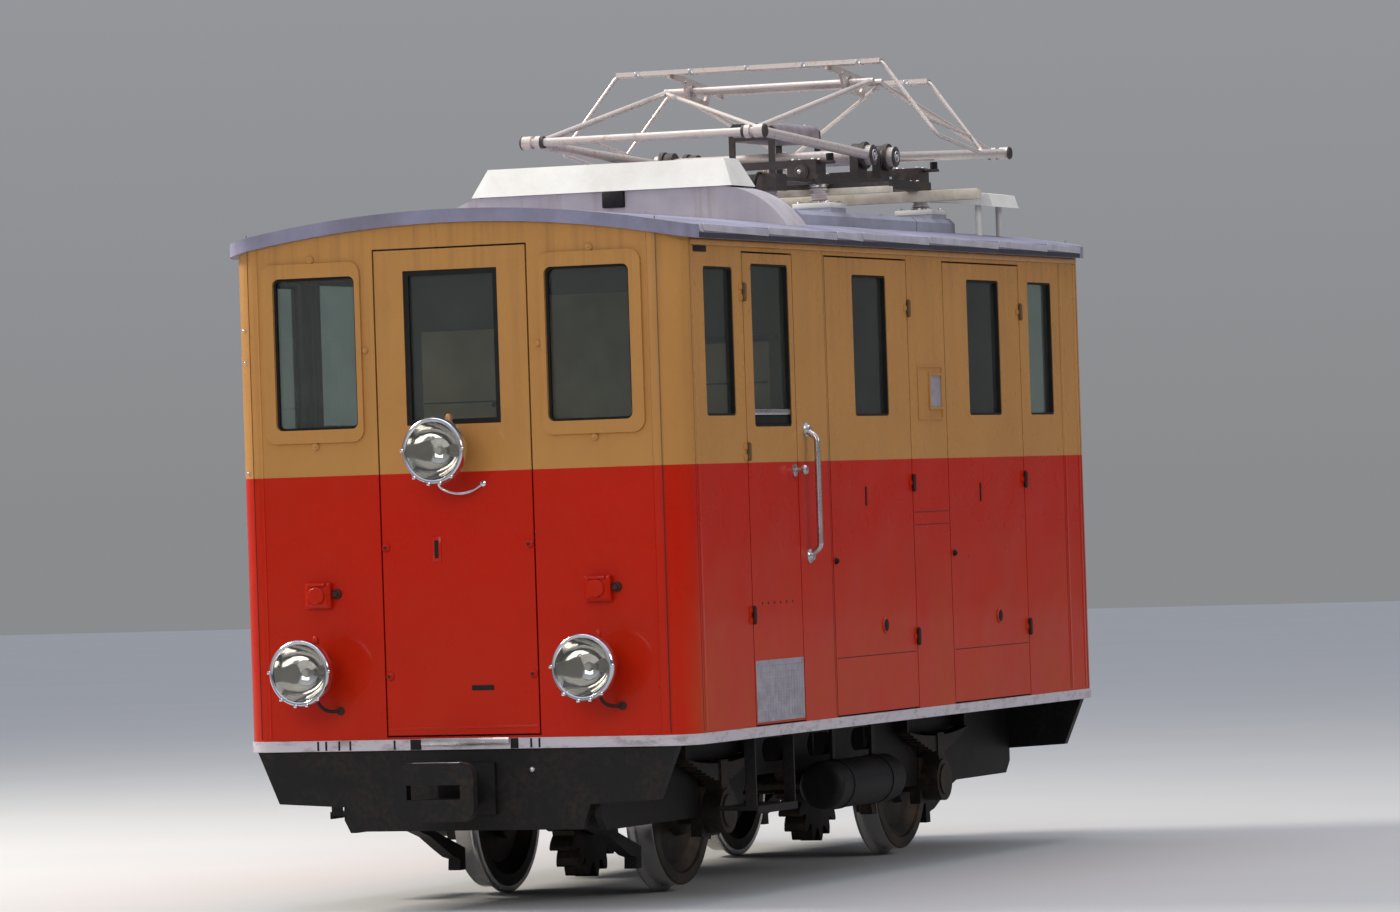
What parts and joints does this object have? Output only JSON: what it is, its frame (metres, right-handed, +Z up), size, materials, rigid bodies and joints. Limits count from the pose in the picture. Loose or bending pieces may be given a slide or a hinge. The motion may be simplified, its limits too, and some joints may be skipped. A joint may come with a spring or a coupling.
{
  "type": "electric rack railway locomotive",
  "caption": "Two-axle narrow-gauge electric rack locomotive with box body, end doors, hinged side doors and a folding pantograph on an arched roof.",
  "frame": {"origin": "on the floor at the lowest point of the wheel flanges, under the middle of the vehicle", "axes": "+X to the right side, -Y towards the front end, +Z up"},
  "size_m": [2.34, 5.96, 3.9181],
  "materials": {
    "livery_paint": "gloss enamel, red below cream, weathered",
    "white_trim": "satin white paint",
    "roof_paint": "matt blue-grey paint, dusty",
    "frame_paint": "matt black paint with brown brake dust",
    "wheel_steel": "dark steel, bright on treads and teeth",
    "bright_metal": "polished steel",
    "pantograph_tube": "weathered grey paint over steel tube",
    "insulator_glaze": "brown glazed ceramic",
    "floor_plate": "worn grey steel plate",
    "cab_panel": "old eggshell paint",
    "motor_casting": "dark grey enamel on cast iron",
    "glass": "clear float glass"
  },
  "bodies": {
    "root": {"air_reservoirs": "frame_paint", "axle_boxes": "frame_paint", "body_glass": "glass", "brake_gear": "frame_paint", "bulkheads": "cab_panel", "cab_steps": "frame_paint", "couplers": "frame_paint", "driver_desks": "cab_panel", "end_wall_front": "livery_paint", "end_wall_rear": "livery_paint", "floor": "floor_plate", "handrails": "bright_metal", "head_lamp_lenses": "glass", "head_lamps": "livery_paint", "headstocks": "frame_paint", "insulators": "insulator_glaze", "leaf_springs": "frame_paint", "main_frame": "frame_paint", "pantograph_base": "pantograph_tube", "rail_guards": "frame_paint", "roof": "roof_paint", "roof_hood_front": "white_trim", "roof_hood_rear": "white_trim", "roof_plinths": "roof_paint", "side_wall_left": "livery_paint", "side_wall_right": "livery_paint", "sill_band": "white_trim", "traction_motors": "motor_casting", "window_frames": "livery_paint"},
    "wheelset_front": {"wheels_front": "wheel_steel", "axle_front": "wheel_steel", "rack_pinion_front": "wheel_steel"},
    "wheelset_rear": {"wheels_rear": "wheel_steel", "axle_rear": "wheel_steel", "rack_pinion_rear": "wheel_steel"},
    "cab_door_right": {"cab_door_right": "livery_paint", "cab_door_glass_right": "glass"},
    "cab_door_left": {"cab_door_left": "livery_paint", "cab_door_glass_left": "glass"},
    "engine_door_a_right": {"engine_door_a_right": "livery_paint", "engine_door_a_glass_right": "glass"},
    "engine_door_a_left": {"engine_door_a_left": "livery_paint", "engine_door_a_glass_left": "glass"},
    "engine_door_b_right": {"engine_door_b_right": "livery_paint", "engine_door_b_glass_right": "glass"},
    "engine_door_b_left": {"engine_door_b_left": "livery_paint", "engine_door_b_glass_left": "glass"},
    "end_door_front": {"end_door_front": "livery_paint", "end_door_glass_front": "glass", "door_lamp_front": "livery_paint", "door_lamp_lens_front": "glass"},
    "end_door_rear": {"end_door_rear": "livery_paint", "end_door_glass_rear": "glass", "door_lamp_rear": "livery_paint", "door_lamp_lens_rear": "glass"},
    "lower_arms_front": {"lower_arms_front": "pantograph_tube"},
    "upper_arms_front": {"upper_arms_front": "pantograph_tube"},
    "lower_arms_rear": {"lower_arms_rear": "pantograph_tube"},
    "upper_arms_rear": {"upper_arms_rear": "pantograph_tube"},
    "collector_head": {"collector_head": "pantograph_tube"}
  },
  "joints": [
    {"name": "wheelset_front_spin", "type": "hinge", "parent": "root", "child": "wheelset_front", "pos_m": [0, -1.38, 0.368], "axis": [1, 0, 0], "continuous": true},
    {"name": "wheelset_rear_spin", "type": "hinge", "parent": "root", "child": "wheelset_rear", "pos_m": [0, 1.38, 0.368], "axis": [1, 0, 0], "continuous": true},
    {"name": "cab_door_right_hinge", "type": "hinge", "parent": "root", "child": "cab_door_right", "pos_m": [1.11, -1.895, 2.001], "axis": [0, 0, -1], "range_deg": [0, 100]},
    {"name": "cab_door_left_hinge", "type": "hinge", "parent": "root", "child": "cab_door_left", "pos_m": [-1.11, -1.895, 2.001], "axis": [0, 0, 1], "range_deg": [0, 100]},
    {"name": "engine_door_a_right_hinge", "type": "hinge", "parent": "root", "child": "engine_door_a_right", "pos_m": [1.11, 0.13, 2.001], "axis": [0, 0, 1], "range_deg": [0, 100]},
    {"name": "engine_door_a_left_hinge", "type": "hinge", "parent": "root", "child": "engine_door_a_left", "pos_m": [-1.11, 0.13, 2.001], "axis": [0, 0, -1], "range_deg": [0, 100]},
    {"name": "engine_door_b_right_hinge", "type": "hinge", "parent": "root", "child": "engine_door_b_right", "pos_m": [1.11, 1.66, 2.001], "axis": [0, 0, 1], "range_deg": [0, 100]},
    {"name": "engine_door_b_left_hinge", "type": "hinge", "parent": "root", "child": "engine_door_b_left", "pos_m": [-1.11, 1.66, 2.001], "axis": [0, 0, -1], "range_deg": [0, 100]},
    {"name": "end_door_front_hinge", "type": "hinge", "parent": "root", "child": "end_door_front", "pos_m": [0.375, -2.58, 1.898], "axis": [0, 0, -1], "range_deg": [0, 90]},
    {"name": "end_door_rear_hinge", "type": "hinge", "parent": "root", "child": "end_door_rear", "pos_m": [-0.375, 2.58, 1.898], "axis": [0, 0, -1], "range_deg": [0, 90]},
    {"name": "pantograph_lift", "type": "hinge", "parent": "root", "child": "lower_arms_front", "pos_m": [0, 1.08, 3.455], "axis": [-1, 0, 0], "range_deg": [0, 36]},
    {"name": "pantograph_front_knuckle", "type": "hinge", "parent": "lower_arms_front", "child": "upper_arms_front", "pos_m": [0, -0.42, 3.52], "axis": [1, 0, 0], "range_deg": [0, 63]},
    {"name": "pantograph_head_level", "type": "hinge", "parent": "upper_arms_front", "child": "collector_head", "pos_m": [0, 1.17, 3.823], "axis": [-1, 0, 0], "range_deg": [0, 20]},
    {"name": "pantograph_rear_shaft", "type": "hinge", "parent": "root", "child": "lower_arms_rear", "pos_m": [0, 1.38, 3.455], "axis": [1, 0, 0], "range_deg": [0, 36]},
    {"name": "pantograph_rear_knuckle", "type": "hinge", "parent": "lower_arms_rear", "child": "upper_arms_rear", "pos_m": [0, 2.88, 3.52], "axis": [-1, 0, 0], "range_deg": [0, 63]}
  ],
  "couplings": [
    {"joint": "pantograph_front_knuckle", "follows": "pantograph_lift", "ratio": 1.74},
    {"joint": "pantograph_head_level", "follows": "pantograph_lift", "ratio": 0.5539},
    {"joint": "pantograph_rear_shaft", "follows": "pantograph_lift", "ratio": 1},
    {"joint": "pantograph_rear_knuckle", "follows": "pantograph_lift", "ratio": 1.74}
  ]
}
